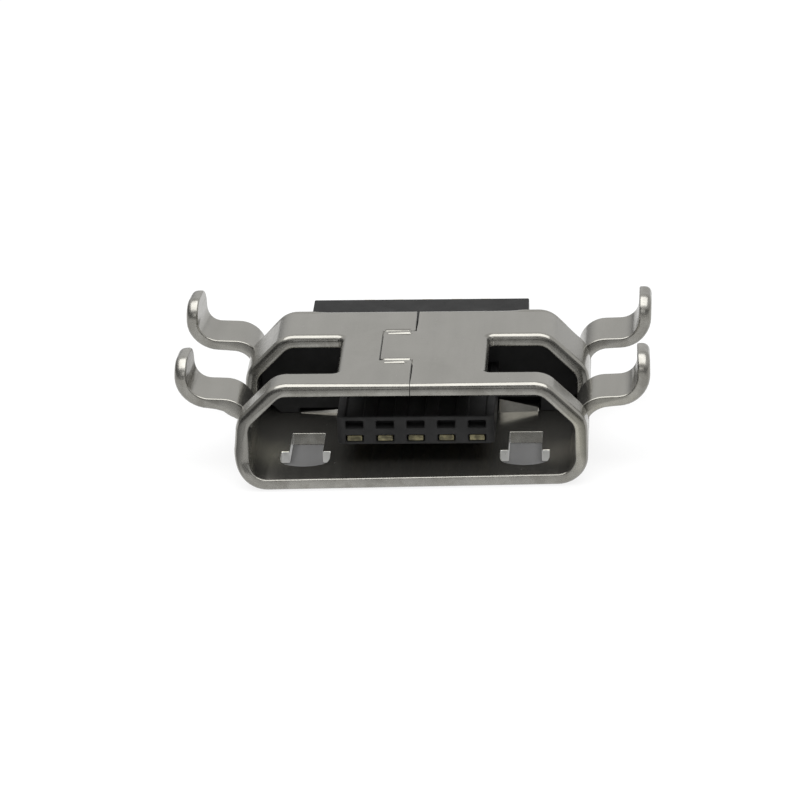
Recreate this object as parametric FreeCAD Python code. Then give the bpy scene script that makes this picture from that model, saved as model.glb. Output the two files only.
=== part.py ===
import FreeCAD, Part
import math
import os

# A micro-B socket, lying on its wide wall. All sizes are in millimetres.
# X runs across the mouth, Y from the mouth to the rear, Z up from the wide wall.

# folded sheet
mouth_width = 6.90          # clear width inside the shell
mouth_height = 1.85         # clear height inside the shell
sheet = 0.27                # sheet thickness
corner_bend = 0.38          # inside radius of the two wide-wall corners
shoulder = 0.70             # size of the sloped shoulders, along X and Z
shoulder_bend = 0.32        # inside radius at both ends of a shoulder
crown_depth = 4.11          # mouth to the rear edge of the narrow wall
skirt = 1.20                # how far side and wide walls run on behind the narrow wall
mouth_edge = 0.05           # bevel of the outer mouth edge

# seam in the narrow wall
seam_gap = 0.03
tab_front = 1.37            # mouth to the front edge of the tab
tab_width = 1.55
tab_reach = 0.70
tab_corner = 0.10

# windows that the front legs were cut from
window_front = 0.75
window_length = 1.89
window_half_gap = 1.59      # socket centre to a window's inner end
window_corner = 0.10
sill_drop = 0.43            # window sill below the legs' lower faces

# legs
leg_level = 1.43            # height of a leg's lower face, halfway along
leg_rise = 0.09             # how much it climbs from the side wall to the horn
leg_width = 1.15
leg_front = 1.00            # mouth to the front legs
leg_root_bend = 0.41
horn_bend = 0.62
horn_reach = 5.04           # socket centre to a horn's outer face
horn_tip = 2.54             # height of the horn tips
horn_round = 0.42
leg_slit = 0.05             # slit between narrow wall and rear legs

# latch windows in the wide wall
latch_centre = 2.35
latch_width = 0.71
latch_ear = 0.17
latch_front = 0.57
latch_bulge = 0.20
latch_ear_length = 0.56
latch_length = 1.72
latch_corner = 0.05

# pressed lugs that the insulator stops on
lug_centre = 2.16
lug_width = 0.92
lug_high = 0.30             # lug on the right, beside the tongue
lug_low = 0.08              # lug on the left, beside the tongue
lug_far = 0.3               # height at the far side, as a share
lug_length = 0.55
lug_lead = 0.06
dent_depth = 0.08
lug_margin = 0.02

# insulator
tongue_front = 0.50
tongue_shift = 0.07         # the tongue and contacts sit this far to the right
tongue_width = 3.34
tongue_level = 0.80
tongue_thickness = 0.64
tongue_corner = 0.09
base_front = 3.40
collar = 0.29               # how far the full section runs on behind the narrow wall
block_width = 4.74
block_end = 1.27            # block's rear face behind the narrow wall
ledge_height = 0.80         # rear ledge above the wide wall's inside
corner_relief = 0.02        # how far its cut corners clear the shell's bends
block_edge = 0.06
groove_depth = 0.06
groove_width = 0.39
groove_stop = 0.06
pocket_height = 0.17
pocket_depth = 0.30
pocket_roof = 0.04

# contacts
pitch = 0.65
contact_width = 0.33
contact_thickness = 0.15
contact_level = 0.06        # lower face above the tongue's underside
contact_recess = 0.03
contact_play = 0.02
lip = 0.24                  # lip in front of the open grooves
tail_bend = 0.14
tail_offset = 0.17          # rising part behind the block
tail_length = 0.70
tail_width = 0.28

wall_depth = crown_depth + skirt
half_mouth = mouth_width / 2
inner_top = sheet + mouth_height
side_top = inner_top - shoulder
relief = corner_bend + corner_relief
shoulder_relief = shoulder_bend * math.tan(math.radians(22.5)) + corner_relief
block_rear = crown_depth + block_end
tail_end = block_rear + tail_offset + contact_thickness + tail_length


def across(x, z, y=0.0):
    return FreeCAD.Vector(x, y, z)


def along(y, z, x=0.0):
    return FreeCAD.Vector(x, y, z)


def flat(x, y, z=0.0):
    return FreeCAD.Vector(x, y, z)


def direction(start, end):
    run, rise = end[0] - start[0], end[1] - start[1]
    length = math.hypot(run, rise)
    return run / length, rise / length


# Where a path turns: the two ends and the middle of the arc, moved to the left by shift.
def turn_points(before, corner, after, bend, shift):
    ahead, beyond = direction(before, corner), direction(corner, after)
    cross = ahead[0] * beyond[1] - ahead[1] * beyond[0]
    angle = math.atan2(cross, ahead[0] * beyond[0] + ahead[1] * beyond[1])
    side = 1 if cross > 0 else -1
    back = bend * math.tan(abs(angle) / 2)
    left, left_beyond = (-ahead[1], ahead[0]), (-beyond[1], beyond[0])
    centre = (corner[0] - ahead[0] * back + left[0] * side * bend,
              corner[1] - ahead[1] * back + left[1] * side * bend)
    radius = bend - side * shift
    middle = direction((0, 0), (left[0] + left_beyond[0], left[1] + left_beyond[1]))
    return [(centre[0] - n[0] * side * radius, centre[1] - n[1] * side * radius)
            for n in (left, middle, left_beyond)]


def end_point(point, heading, shift):
    return point[0] - heading[1] * shift, point[1] + heading[0] * shift


# Straight runs joined by arcs, moved to the left of the path by shift.
def path_edges(points, bends, shift, closed, place):
    count = len(points)
    stops = []
    for index, bend in enumerate(bends):
        corner = index if closed else index + 1
        stops.append(turn_points(points[corner - 1], points[corner], points[(corner + 1) % count],
                                 bend, shift))
    if not closed:
        stops.insert(0, [end_point(points[0], direction(points[0], points[1]), shift)])
        stops.append([end_point(points[-1], direction(points[-2], points[-1]), shift)])
    edges = []
    for index, stop in enumerate(stops):
        if len(stop) == 3:
            edges.append(Part.Arc(*[place(*p) for p in stop]).toShape())
        if closed or index + 1 < len(stops):
            following = stops[(index + 1) % len(stops)]
            edges.append(Part.makeLine(place(*stop[-1]), place(*following[0])))
    return edges, place(*stops[0][0]), place(*stops[-1][-1])


def loop_face(points, bends, shift, place):
    return Part.Face(Part.Wire(path_edges(points, bends, shift, True, place)[0]))


# A bent strip seen from its side, with its thickness to the left of the path.
def strip_face(points, bends, thickness, place):
    near, near_start, near_end = path_edges(points, bends, 0, False, place)
    far, far_start, far_end = path_edges(points, bends, thickness, False, place)
    caps = [Part.makeLine(near_end, far_end), Part.makeLine(far_start, near_start)]
    return Part.Face(Part.Wire(Part.__sortEdges__(near + far + caps)))


def polygon_face(points):
    return Part.Face(Part.makePolygon(points + points[:1]))


def block(x, y, z):
    corner = FreeCAD.Vector(x[0], y[0], z[0])
    return Part.makeBox(x[1] - x[0], y[1] - y[0], z[1] - z[0], corner)


def mirrored(shape):
    return shape.mirror(FreeCAD.Vector(0, 0, 0), FreeCAD.Vector(1, 0, 0))


def edges_at(shape, test):
    return [edge for edge in shape.Edges if test(edge)]


# The closed section of the sheet, run from the mouth to the rear.
def make_sleeve():
    corners = [(-half_mouth, sheet), (half_mouth, sheet), (half_mouth, side_top),
               (half_mouth - shoulder, inner_top), (shoulder - half_mouth, inner_top),
               (-half_mouth, side_top)]
    bends = [corner_bend, corner_bend] + [shoulder_bend] * 4
    run = FreeCAD.Vector(0, wall_depth, 0)
    outside = loop_face(corners, bends, -sheet, across).extrude(run)
    rim = edges_at(outside, lambda edge: edge.BoundBox.YMax < 0.001)
    outside = outside.makeChamfer(mouth_edge, rim)
    return outside.cut(loop_face(corners, bends, 0, across).extrude(run))


# A window in a shoulder, open down to the side wall where the front leg leaves it.
def make_window():
    reach = (window_half_gap, half_mouth + 2 * sheet)
    span = (window_front, window_front + window_length)
    opening = block(reach, span, (leg_level - sill_drop, inner_top + 2 * sheet))
    ends = edges_at(opening, lambda edge: edge.BoundBox.XMax < window_half_gap + 0.001
                    and edge.BoundBox.ZLength > edge.BoundBox.YLength)
    return opening.makeFillet(window_corner, ends)


# The slit that parts the two halves of the narrow wall round the tab.
def make_seam():
    tab_rear = tab_front + tab_width
    path = [(0, -sheet), (0, tab_front), (-tab_reach, tab_front), (-tab_reach, tab_rear),
            (0, tab_rear), (0, wall_depth)]
    face = strip_face(path, [tab_corner] * 4, seam_gap, flat)
    face.translate(FreeCAD.Vector(seam_gap / 2, -seam_gap / 2, side_top))
    return face.extrude(FreeCAD.Vector(0, 0, shoulder + 2 * sheet))


# A latch window: a slot with two ears and a front edge that bows to the mouth.
def make_latch_window():
    half, wide = latch_width / 2, latch_width / 2 + latch_ear
    ear_front = latch_front + latch_bulge
    ear_rear = ear_front + latch_ear_length
    rear = latch_front + latch_length
    turns = [(wide, ear_front), (wide, ear_rear), (half, ear_rear), (half, rear),
             (-half, rear), (-half, ear_rear), (-wide, ear_rear), (-wide, ear_front)]
    edges = [Part.makeLine(flat(*turns[i]), flat(*turns[i + 1])) for i in range(len(turns) - 1)]
    edges.append(Part.Arc(flat(-wide, ear_front), flat(0, latch_front),
                          flat(wide, ear_front)).toShape())
    opening = Part.Face(Part.Wire(edges)).extrude(FreeCAD.Vector(0, 0, 3 * sheet))
    upright = edges_at(opening, lambda edge: edge.BoundBox.ZLength > 2 * sheet)
    opening = opening.makeFillet(latch_corner, upright)
    opening.translate(FreeCAD.Vector(latch_centre, 0, -sheet))
    return opening


# One leg: it leaves the side wall, lies flat at board level and ends in an upright horn.
def make_leg(front):
    outer = half_mouth + sheet
    low, high = leg_level - leg_rise / 2, leg_level + leg_rise / 2
    path = [(outer, leg_level - sill_drop - sheet), (outer, low), (horn_reach, high),
            (horn_reach, horn_tip)]
    face = strip_face(path, [leg_root_bend, horn_bend], sheet, across)
    face.translate(FreeCAD.Vector(0, front, 0))
    leg = face.extrude(FreeCAD.Vector(0, leg_width, 0))
    tip = edges_at(leg, lambda edge: edge.BoundBox.ZMin > horn_tip - 0.001
                   and edge.BoundBox.XLength > edge.BoundBox.YLength)
    return leg.makeFillet(horn_round, tip)


def lug_outline(x, height):
    top = sheet + height
    side = [along(base_front - lug_lead, sheet / 2, x), along(base_front - lug_lead, sheet, x),
            along(base_front, top, x), along(base_front + lug_length, sheet, x),
            along(base_front + lug_length, sheet / 2, x)]
    return Part.makePolygon(side + side[:1])


# A lug pressed up from the wide wall, highest at its front face and beside the tongue.
def make_lug(centre, height):
    way = math.copysign(1, centre)
    near = lug_outline(centre - way * lug_width / 2, height)
    far = lug_outline(centre + way * lug_width / 2, height * lug_far)
    return Part.makeLoft([near, far], True, True)


def make_dent(centre):
    reach = (centre - lug_width / 2 + lug_lead, centre + lug_width / 2 - lug_lead)
    return block(reach, (base_front, base_front + lug_length), (-sheet, dent_depth))


def make_shell():
    leg_rear = crown_depth + leg_slit
    shell = make_sleeve()
    rear_opening = block((-horn_reach, horn_reach), (crown_depth, 2 * wall_depth),
                         (leg_level - sill_drop, horn_tip))
    window, latch = make_window(), make_latch_window()
    shell = shell.cut([rear_opening, window, mirrored(window), latch, mirrored(latch), make_seam()])
    front, rear = make_leg(leg_front), make_leg(leg_rear)
    lugs = [make_lug(lug_centre, lug_high), make_lug(-lug_centre, lug_low)]
    shell = shell.fuse([front, rear, mirrored(front), mirrored(rear)] + lugs)
    return shell.cut([make_dent(lug_centre), make_dent(-lug_centre)]).removeSplitter()


# The full section behind the tongue, with cut corners that clear the shell's bends.
def make_collar():
    low, high = sheet, inner_top
    right = [(half_mouth - relief, low), (half_mouth, low + relief),
             (half_mouth, side_top - shoulder_relief),
             (half_mouth - shoulder - shoulder_relief, high)]
    left = [(-x, z) for x, z in reversed(right)]
    face = polygon_face([across(x, z, base_front) for x, z in right + left])
    return face.extrude(FreeCAD.Vector(0, crown_depth + collar - base_front, 0))


def make_rear_block():
    start = base_front + collar
    upper = block((-block_width / 2, block_width / 2), (start, block_rear), (sheet, inner_top))
    rim = edges_at(upper, lambda edge: edge.BoundBox.YMin > block_rear - 0.001
                   or (edge.BoundBox.ZMin > inner_top - 0.001 and edge.BoundBox.YLength > collar))
    upper = upper.makeChamfer(block_edge, rim)
    ledge = block((-half_mouth + relief, half_mouth - relief), (start, wall_depth),
                  (sheet, sheet + ledge_height))
    flank = block((-half_mouth, half_mouth), (start, wall_depth),
                  (sheet + relief, sheet + ledge_height))
    return upper.fuse([ledge, flank])


def contact_columns():
    return [pitch * (number - 2) + tongue_shift for number in range(5)]


# Grooves along the tongue's upper side and the small pockets in its front face.
def make_tongue_cuts():
    top = tongue_level + tongue_thickness
    pocket_top = top - groove_depth - pocket_roof
    cuts = []
    for column in contact_columns():
        wide = (column - groove_width / 2, column + groove_width / 2)
        cuts.append(block(wide, (tongue_front + groove_stop, base_front),
                          (top - groove_depth, top + sheet)))
        cuts.append(block(wide, (tongue_front - sheet, tongue_front + pocket_depth),
                          (pocket_top - pocket_height, pocket_top)))
    return cuts


# Slots that hold the contacts, open below between the lip and the base.
def make_contact_slots():
    low = tongue_level + contact_level
    slots = []
    for column in contact_columns():
        wide = (column - contact_width / 2 - contact_play, column + contact_width / 2 + contact_play)
        slots.append(block(wide, (tongue_front - sheet, block_rear + sheet),
                           (low, low + contact_thickness)))
        slots.append(block(wide, (tongue_front + lip, base_front), (tongue_level - sheet, low)))
    return slots


def make_insulator():
    sides = (tongue_shift - tongue_width / 2, tongue_shift + tongue_width / 2)
    tongue = block(sides, (tongue_front, base_front + collar),
                   (tongue_level, tongue_level + tongue_thickness))
    corners = edges_at(tongue, lambda edge: edge.BoundBox.YMax < tongue_front + 0.001
                       and edge.BoundBox.ZLength > edge.BoundBox.XLength)
    tongue = tongue.makeChamfer(tongue_corner, corners)
    body = tongue.fuse([make_collar(), make_rear_block()])
    reliefs = []
    for centre, height in ((lug_centre, lug_high), (-lug_centre, lug_low)):
        wide = (centre - lug_width / 2 - lug_margin, centre + lug_width / 2 + lug_margin)
        deep = (base_front - lug_margin, base_front + lug_length + lug_margin)
        reliefs.append(block(wide, deep, (0, sheet + height + lug_margin)))
    return body.cut(reliefs + make_tongue_cuts() + make_contact_slots()).removeSplitter()


# A contact: a straight beam, a step behind the block and a narrower tail at board level.
def make_contact(column):
    low = tongue_level + contact_level
    tail_low = leg_level + sheet - contact_thickness
    rise = block_rear + tail_offset + contact_thickness
    path = [(tongue_front + contact_recess, low), (rise, low), (rise, tail_low), (tail_end, tail_low)]
    bends = [tail_bend + contact_thickness, tail_bend]
    face = strip_face(path, bends, contact_thickness, along)
    contact = face.extrude(FreeCAD.Vector(contact_width, 0, 0))
    contact.translate(FreeCAD.Vector(column - contact_width / 2, 0, 0))
    beside = (contact_width - tail_width) / 2
    for edge in (column - contact_width / 2 - beside, column + contact_width / 2 - beside):
        contact = contact.cut(block((edge, edge + 2 * beside), (block_rear + tail_offset / 2, 2 * tail_end),
                                    (0, horn_tip)))
    return contact


# The origin goes to the middle of the footprint, at the underside.
def save(name, shape):
    shape.translate(FreeCAD.Vector(0, -tail_end / 2, 0))
    shape.exportStep(os.path.join("parts", name + ".step"))


os.makedirs("parts", exist_ok=True)
save("shell", make_shell())
save("insulator", make_insulator())
for number, column in enumerate(contact_columns(), start=1):
    save("contact_%d" % number, make_contact(column))
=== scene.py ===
import bpy
import math
import numpy as np
from mathutils import Matrix, Vector


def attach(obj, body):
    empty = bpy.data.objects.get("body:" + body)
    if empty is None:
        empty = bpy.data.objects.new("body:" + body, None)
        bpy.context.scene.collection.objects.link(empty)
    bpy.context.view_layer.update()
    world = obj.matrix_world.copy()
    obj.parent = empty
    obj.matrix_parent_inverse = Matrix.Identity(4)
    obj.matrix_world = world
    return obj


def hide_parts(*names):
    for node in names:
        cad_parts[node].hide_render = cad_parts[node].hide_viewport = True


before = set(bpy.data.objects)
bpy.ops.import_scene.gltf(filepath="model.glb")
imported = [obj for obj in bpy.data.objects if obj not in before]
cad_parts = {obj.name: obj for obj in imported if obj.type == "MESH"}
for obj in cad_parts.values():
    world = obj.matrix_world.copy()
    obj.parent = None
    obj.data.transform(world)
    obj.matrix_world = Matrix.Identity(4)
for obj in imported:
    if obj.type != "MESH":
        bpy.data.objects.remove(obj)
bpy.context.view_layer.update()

# A micro-B socket lying on its wide wall. Sizes are in millimetres from the mouth's middle, with x
# across, y towards the rear and z up; finishMesh brings them to metres and to the footprint's middle.
scene = bpy.context.scene
footprintMiddle = 3.2                # mouth to the middle of the footprint
millimetre = 0.001
near = 1e-4                          # what lies closer than this counts as one place
cornerTurn = math.radians(35)        # an edge that turns by more is a corner
flatTurn = math.radians(0.2)         # faces that turn by less are merged


# Shared mesh tools

# A path from its runs of (length, turn). Inside a run the heading turns evenly, so the chord to
# a point at distance t is t * sin(half turn) / half turn, along the heading's middle value.
def pathPoints(start, heading, runs, stations):
    lengths, turns = np.array(runs, float).T
    begins = np.concatenate([[0], np.cumsum(lengths)])
    headings = heading + np.concatenate([[0], np.cumsum(turns)])[:-1]
    chords = lengths * np.sinc(turns / 2 / np.pi)
    steps = chords[:, None] * np.stack([np.cos(headings + turns / 2), np.sin(headings + turns / 2)], 1)
    corners = np.array(start, float) + np.concatenate([[[0, 0]], np.cumsum(steps, 0)])
    run = np.clip(np.searchsorted(begins, stations, "right") - 1, 0, len(runs) - 1)
    t = stations - begins[run]
    half = turns[run] / lengths[run] * t / 2
    chord = t * np.sinc(half / np.pi)
    middle = headings[run] + half
    x = corners[run, 0] + chord * np.cos(middle)
    z = corners[run, 1] + chord * np.sin(middle)
    return x, z, headings[run] + 2 * half


# The distances at which the runs of a path begin and end.
def runEnds(runs):
    return np.concatenate([[0], np.cumsum([run[0] for run in runs])])


# The values in order, each once.
def inOrder(*values):
    return np.unique(np.round(np.concatenate(values), 6))


# Whether each value lies between two others.
def between(value, low, high):
    return (value > low) & (value < high)


# From 0 to 1 between two values, with level ends: 3 s^2 - 2 s^3.
def smoothStep(value, low, high):
    share = np.clip((value - low) / (high - low), 0, 1)
    return share * share * (3 - 2 * share)


# The square between an arc's centre and its corner is pressed into a quarter disc:
# a -> a * sqrt(1 - b*b/2), b -> b * sqrt(1 - a*a/2), with a and b from 0 to 1.
def roundCorner(across, along, centre, corner):
    a = (across - centre[0]) / (corner[0] - centre[0])
    b = (along - centre[1]) / (corner[1] - centre[1])
    inside = between(a, -near, 1 + near) & between(b, -near, 1 + near)
    newA, newB = a * np.sqrt(np.clip(1 - b * b / 2, 0, 1)), b * np.sqrt(np.clip(1 - a * a / 2, 0, 1))
    across = np.where(inside, centre[0] + newA * (corner[0] - centre[0]), across)
    along = np.where(inside, centre[1] + newB * (corner[1] - centre[1]), along)
    return across, along


# The pairs of points along the four edges of each face.
def faceEdges(faces):
    return np.concatenate([np.stack([faces[:, k], faces[:, (k + 1) % 4]], 1) for k in range(4)])


# An edge of the outer skin that only one face uses is on the rim; it is joined to the inner skin.
# Where the rim turns by more than the corner turn, its upright edge is a corner.
def closeSkins(outerFaces, outer):
    count = len(outer)
    ends = faceEdges(outerFaces)
    there, back = ends[:, 0] * count + ends[:, 1], ends[:, 1] * count + ends[:, 0]
    rim = ends[~np.isin(there, back)]
    rimFaces = np.stack([rim[:, 1], rim[:, 0], rim[:, 0] + count, rim[:, 1] + count], 1)
    following = np.zeros(count, int)
    following[rim[:, 0]] = rim[:, 1]
    ahead = outer[rim[:, 1]] - outer[rim[:, 0]]
    beyond = outer[following[rim[:, 1]]] - outer[rim[:, 1]]
    level = (ahead * beyond).sum(1) / np.linalg.norm(ahead, axis=1) / np.linalg.norm(beyond, axis=1)
    corners = rim[level < math.cos(cornerTurn), 1]
    faces = np.concatenate([outerFaces, outerFaces[:, ::-1] + count, rimFaces])
    return faces, rim, np.stack([corners, corners + count], 1)


# For each edge of the mesh, the value given to its pair of points, or 0. Pairs are compared as the
# one number low * count + high.
def edgeValues(mesh, used, count, pairs, values):
    ends = np.zeros(len(mesh.edges) * 2, np.int32)
    mesh.edges.foreach_get("vertices", ends)
    ends = np.sort(used[ends.reshape(-1, 2)], 1)
    pairs = np.sort(pairs, 1)
    codes, wanted = pairs[:, 0] * count + pairs[:, 1], ends[:, 0] * count + ends[:, 1]
    order = np.argsort(codes)
    found = order[np.clip(np.searchsorted(codes[order], wanted), 0, len(codes) - 1)]
    return np.where(codes[found] == wanted, values[found], 0)


# A mesh of four-sided faces. Its softness is (point pairs, weights) for the edges that the bevel rounds.
# Kept lines stay as edges where flat faces are merged, so that no flat face has a hole, and the shading
# turns sharply at sharp lines.
def buildMesh(name, points, faces, finish=None, softness=None, depth=None, kept=None, sharp=None):
    used, place = np.unique(faces, return_inverse=True)
    mesh = bpy.data.meshes.new(name)
    mesh.from_pydata(points[used].tolist(), [], place.reshape(faces.shape).tolist())
    if depth is not None:
        share = mesh.attributes.new("sheetDepth", "FLOAT", "POINT")
        share.data.foreach_set("value", depth[used].astype(np.float32))
    if finish is not None:
        mesh.polygons.foreach_set("material_index", finish.astype(np.int32))
    if softness is not None:
        soft = mesh.attributes.new("bevel_weight_edge", "FLOAT", "EDGE")
        weights = edgeValues(mesh, used, len(points), *softness)
        soft.data.foreach_set("value", weights.astype(np.float32))
    for mark, pairs in (("use_seam", kept), ("use_edge_sharp", sharp)):
        if pairs is not None:
            marked = edgeValues(mesh, used, len(points), pairs, np.ones(len(pairs)))
            mesh.edges.foreach_set(mark, marked > 0)
    mesh.polygons.foreach_set("use_smooth", np.ones(len(faces), bool))
    mesh.update()
    return mesh


# The bevel and the weighting are applied in millimetres, then the mesh is scaled and placed.
def finishMesh(name, mesh, materials, bevel, segments, node, merge=True, weighted=False):
    worker = bpy.data.objects.new(name + "Worker", mesh)
    scene.collection.objects.link(worker)
    for material in materials:
        mesh.materials.append(material)
    if merge:
        flatten = worker.modifiers.new("flatten", "DECIMATE")
        flatten.decimate_type = "DISSOLVE"
        flatten.angle_limit = flatTurn
        flatten.delimit = {"SEAM"}
    soften = worker.modifiers.new("soften", "BEVEL")
    soften.width = bevel
    soften.segments = segments
    soften.limit_method = "WEIGHT" if weighted else "ANGLE"
    soften.angle_limit = cornerTurn
    soften.use_clamp_overlap = False
    weigh = worker.modifiers.new("weigh", "WEIGHTED_NORMAL")
    weigh.keep_sharp = True
    done = bpy.data.meshes.new_from_object(worker.evaluated_get(bpy.context.evaluated_depsgraph_get()))
    bpy.data.objects.remove(worker)
    done.name = name
    done.transform(Matrix.Scale(millimetre, 4) @ Matrix.Translation((0, -footprintMiddle, 0)))
    piece = bpy.data.objects.new(name, done)
    scene.collection.objects.link(piece)
    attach(piece, "root")
    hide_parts(node)
    print(name, "made:", len(done.polygons), "faces")


# Materials

noiseSpan = (0.3, 0.7)               # where most values of a noise lie


# A node with its settings, and with a value or another node's output at each socket.
def addNode(tree, kind, sockets, **settings):
    node = tree.nodes.new(kind)
    for name, value in settings.items():
        setattr(node, name, value)
    for socket, value in sockets.items():
        if isinstance(value, bpy.types.NodeSocket):
            tree.links.new(value, node.inputs[socket])
        else:
            node.inputs[socket].default_value = value
    return node


# One operation on terms that are numbers or other nodes' outputs.
def compute(tree, operation, *terms):
    return addNode(tree, "ShaderNodeMath", dict(enumerate(terms)), operation=operation).outputs[0]


# A value carried from one range to another, and held inside it.
def mapRange(tree, value, low, high, toLow=0.0, toHigh=1.0, kind="LINEAR"):
    sockets = {0: value, 1: low, 2: high, 3: toLow, 4: toHigh}
    return addNode(tree, "ShaderNodeMapRange", sockets, interpolation_type=kind).outputs[0]


# The first colour at share 0, the second at share 1.
def mixColour(tree, share, first, second):
    return addNode(tree, "ShaderNodeMix", {0: share, 6: first, 7: second}, data_type="RGBA").outputs[2]


# Cloudy noise from 0 to 1, with scale times the vector as its place.
def makeNoise(tree, vector, scale, detail, roughness, distortion=0.0):
    return addNode(tree, "ShaderNodeTexNoise", {"Vector": vector, "Scale": scale, "Detail": detail,
                                                "Roughness": roughness, "Distortion": distortion}).outputs[0]


# A grey ramp through stops of (position, level).
def makeRamp(tree, value, stops):
    ramp = addNode(tree, "ShaderNodeValToRGB", {0: value})
    for position, level in stops[1:-1]:
        ramp.color_ramp.elements.new(position)
    for stop, (position, level) in zip(ramp.color_ramp.elements, stops):
        stop.position, stop.color = position, (level, level, level, 1)
    return ramp.outputs[0]


# A node group with its inputs (name, kind, value) and outputs (name, kind).
def newGroup(name, inputs, outputs):
    group = bpy.data.node_groups.new(name, "ShaderNodeTree")
    for title, kind, value in inputs:
        socket = group.interface.new_socket(title, in_out="INPUT", socket_type=kind)
        if value is not None:
            socket.default_value = value
    for title, kind in outputs:
        group.interface.new_socket(title, in_out="OUTPUT", socket_type=kind)
    return group, group.nodes.new("NodeGroupInput").outputs, group.nodes.new("NodeGroupOutput").inputs


# Fine rolled grain: noise drawn out along one direction, mixed with fine even speckle.
def makeGrainGroup():
    group, given, result = newGroup("rolledGrain", [
        ("Vector", "NodeSocketVector", None), ("Scale", "NodeSocketFloat", 9000.0),
        ("Draw", "NodeSocketVector", (1.0, 0.12, 1.0)), ("Speckle", "NodeSocketFloat", 0.4)],
        [("Height", "NodeSocketFloat"), ("Patch", "NodeSocketFloat")])
    vector, scale = given["Vector"], given["Scale"]
    drawn = addNode(group, "ShaderNodeVectorMath", {0: vector, 1: given["Draw"]},
                    operation="MULTIPLY").outputs[0]
    streak = makeNoise(group, drawn, scale, 3.0, 0.6)
    speckle = makeNoise(group, vector, compute(group, "MULTIPLY", scale, 2.2), 2.0, 0.5)
    patch = makeNoise(group, drawn, compute(group, "MULTIPLY", scale, 0.22), 4.0, 0.55)
    blend = addNode(group, "ShaderNodeMix", {0: given["Speckle"], 2: streak, 3: speckle})
    group.links.new(blend.outputs[0], result["Height"])
    group.links.new(patch, result["Patch"])
    return group


# Handling marks: soft blotches, with a harder threshold for the few darker spots inside them.
def makeMarkGroup():
    group, given, result = newGroup("handlingMarks", [
        ("Vector", "NodeSocketVector", None), ("Size", "NodeSocketFloat", 900.0),
        ("Low", "NodeSocketFloat", 0.42), ("High", "NodeSocketFloat", 0.68)],
        [("Blotch", "NodeSocketFloat"), ("Spot", "NodeSocketFloat")])
    cloud = makeNoise(group, given["Vector"], given["Size"], 5.0, 0.6, 0.4)
    dots = makeNoise(group, given["Vector"], compute(group, "MULTIPLY", given["Size"], 6.0), 3.0, 0.7)
    blotch = mapRange(group, cloud, given["Low"], given["High"], kind="SMOOTHSTEP")
    spot = mapRange(group, dots, 0.58, 0.72, kind="SMOOTHSTEP")
    group.links.new(blotch, result["Blotch"])
    group.links.new(spot, result["Spot"])
    return group


grainGroup, markGroup = makeGrainGroup(), makeMarkGroup()


# A finish whose colour goes from clean to marked by the marks, and whose bump and gloss follow the
# grain. Painted light and shade is laid on as patches of (centre, reach, colour); the burnish is a line
# of grey across a sheared edge, partly the burnished band and partly painted shade and reflection.
def makeFinish(name, look):
    material = bpy.data.materials.new(name)
    material.use_nodes = True
    tree = material.node_tree
    shader = tree.nodes["Principled BSDF"]
    shader.inputs["Metallic"].default_value = look["metallic"]
    shader.inputs["Specular IOR Level"].default_value = look.get("specular", 0.5)
    place = tree.nodes.new("ShaderNodeTexCoord").outputs["Object"]
    grain = addNode(tree, "ShaderNodeGroup", {"Vector": place, "Scale": look["grain"], "Draw": look["draw"],
                                              "Speckle": look["speckle"]}, node_tree=grainGroup).outputs
    marks = addNode(tree, "ShaderNodeGroup", {"Vector": place, "Size": look["marks"], "Low": look["low"],
                                              "High": look["high"]}, node_tree=markGroup).outputs
    colour = mixColour(tree, marks["Blotch"], (*look["clean"], 1), (*look["marked"], 1))
    tone = mapRange(tree, grain["Patch"], *noiseSpan, 1 - look["streak"], 1 + look["streak"])
    # each patch paints light or shade into the colour around its centre
    for centre, reach, paintedTone in look.get("paintedLightAndShade", ()):
        distance = addNode(tree, "ShaderNodeVectorMath", {0: place, 1: centre}, operation="DISTANCE")
        patch = mapRange(tree, distance.outputs["Value"], 0.0, reach, 1.0, 0.0, "SMOOTHSTEP")
        colour = mixColour(tree, patch, colour, (*paintedTone, 1))
    # painted shade and reflection: a sheared edge is darkened just inside its outer rounding and lightens
    # towards the inner skin
    if "burnishPaintedShade" in look:
        through = addNode(tree, "ShaderNodeAttribute", {}, attribute_name="sheetDepth").outputs["Fac"]
        wavy = compute(tree, "MULTIPLY_ADD", marks["Spot"], look["waver"], through)
        tone = compute(tree, "MULTIPLY", tone, makeRamp(tree, wavy, look["burnishPaintedShade"]))
    shade = addNode(tree, "ShaderNodeVectorMath", {0: colour, 3: tone}, operation="SCALE")
    tree.links.new(shade.outputs[0], shader.inputs["Base Color"])
    gloss = mapRange(tree, grain["Height"], *noiseSpan, *look["rough"])
    rough = compute(tree, "MULTIPLY_ADD", marks["Spot"], look["spot"], gloss)     # worn spots are rougher
    tree.links.new(rough, shader.inputs["Roughness"])
    bump = addNode(tree, "ShaderNodeBump", {"Height": grain["Height"], "Strength": look["bump"],
                                            "Distance": look["depth"]})
    tree.links.new(bump.outputs[0], shader.inputs["Normal"])
    return material


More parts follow.
